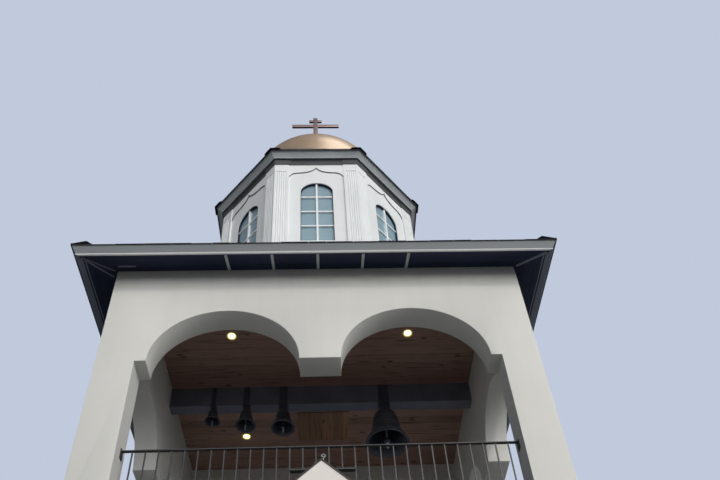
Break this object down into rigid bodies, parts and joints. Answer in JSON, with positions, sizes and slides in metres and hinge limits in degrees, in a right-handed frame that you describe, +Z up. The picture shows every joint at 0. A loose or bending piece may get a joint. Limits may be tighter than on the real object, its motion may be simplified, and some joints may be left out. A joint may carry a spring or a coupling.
{
  "type": "church bell tower",
  "caption": "Church bell tower: stucco base with a gabled porch, open arched belfry with bells, hip roof, octagonal windowed lantern, dome and cross.",
  "frame": {"origin": "ground level under the middle of the tower, on the underside of the ground floor slab", "axes": "+Z up; -Y towards the porch and the entrance; +X to the right seen from the front"},
  "size_m": [4.9792, 5.1456, 15.562],
  "materials": {
    "stucco": "sand-float stucco",
    "concrete": "trowelled concrete",
    "window": "white painted frames with clear panes",
    "door": "stained and varnished",
    "shingle": "granulated shingles",
    "dark_steel": "matt dark paint",
    "grey_metal": "satin",
    "iron": "satin dark grey paint",
    "ceiling_boards": "stained knotty boards",
    "bronze": "dark patina",
    "clapper_iron": "bare forged iron",
    "fascia": "grey satin paint",
    "soffit": "dark navy paint with grey strips",
    "lantern_boards": "white satin paint",
    "copper": "brushed copper-gold sheet",
    "gilding": "satin copper-gold"
  },
  "bodies": {
    "tower": {"front_wall_left": "stucco", "front_wall_right": "stucco", "front_wall_over_door": "stucco", "back_wall": "stucco", "left_wall": "stucco", "right_wall": "stucco", "porch_front_wall": "stucco", "porch_left_wall": "stucco", "porch_right_wall": "stucco", "belfry_front": "stucco", "belfry_back": "stucco", "belfry_left": "stucco", "belfry_right": "stucco", "ground_floor": "concrete", "porch_floor": "concrete", "belfry_floor": "concrete", "back_window": "window", "left_window": "window", "right_window": "window", "lantern_windows": "window", "entrance_doors": "door", "porch_roof": "shingle", "main_roof_front": "shingle", "main_roof_back": "shingle", "main_roof_left": "shingle", "main_roof_right": "shingle", "lantern_roof": "shingle", "porch_drip_edge": "dark_steel", "bell_beam": "dark_steel", "porch_ring": "grey_metal", "railing_front": "iron", "railing_back": "iron", "railing_left": "iron", "railing_right": "iron", "belfry_ceiling": "ceiling_boards", "ceiling_hatch": "ceiling_boards", "bell_1": "bronze", "bell_2": "bronze", "bell_3": "bronze", "bell_4": "bronze", "eave_fascia": "fascia", "lantern_cornice": "fascia", "eave_soffit": "soffit", "lantern_walls": "lantern_boards", "lantern_trim": "lantern_boards", "dome": "copper", "cross": "gilding"},
    "clapper_1": {"clapper_1": "clapper_iron"},
    "clapper_2": {"clapper_2": "clapper_iron"},
    "clapper_3": {"clapper_3": "clapper_iron"},
    "clapper_4": {"clapper_4": "clapper_iron"}
  },
  "joints": [
    {"name": "clapper_1_swing", "type": "hinge", "parent": "tower", "child": "clapper_1", "pos_m": [-1.332, 0, 7.93036], "axis": [1, 0, 0], "range_deg": [-30, 30]},
    {"name": "clapper_2_swing", "type": "hinge", "parent": "tower", "child": "clapper_2", "pos_m": [-0.928, 0, 7.88784], "axis": [1, 0, 0], "range_deg": [-30, 30]},
    {"name": "clapper_3_swing", "type": "hinge", "parent": "tower", "child": "clapper_3", "pos_m": [-0.476, 0, 7.86136], "axis": [1, 0, 0], "range_deg": [-30, 30]},
    {"name": "clapper_4_swing", "type": "hinge", "parent": "tower", "child": "clapper_4", "pos_m": [0.766, 0, 7.70992], "axis": [1, 0, 0], "range_deg": [-30, 30]}
  ]
}
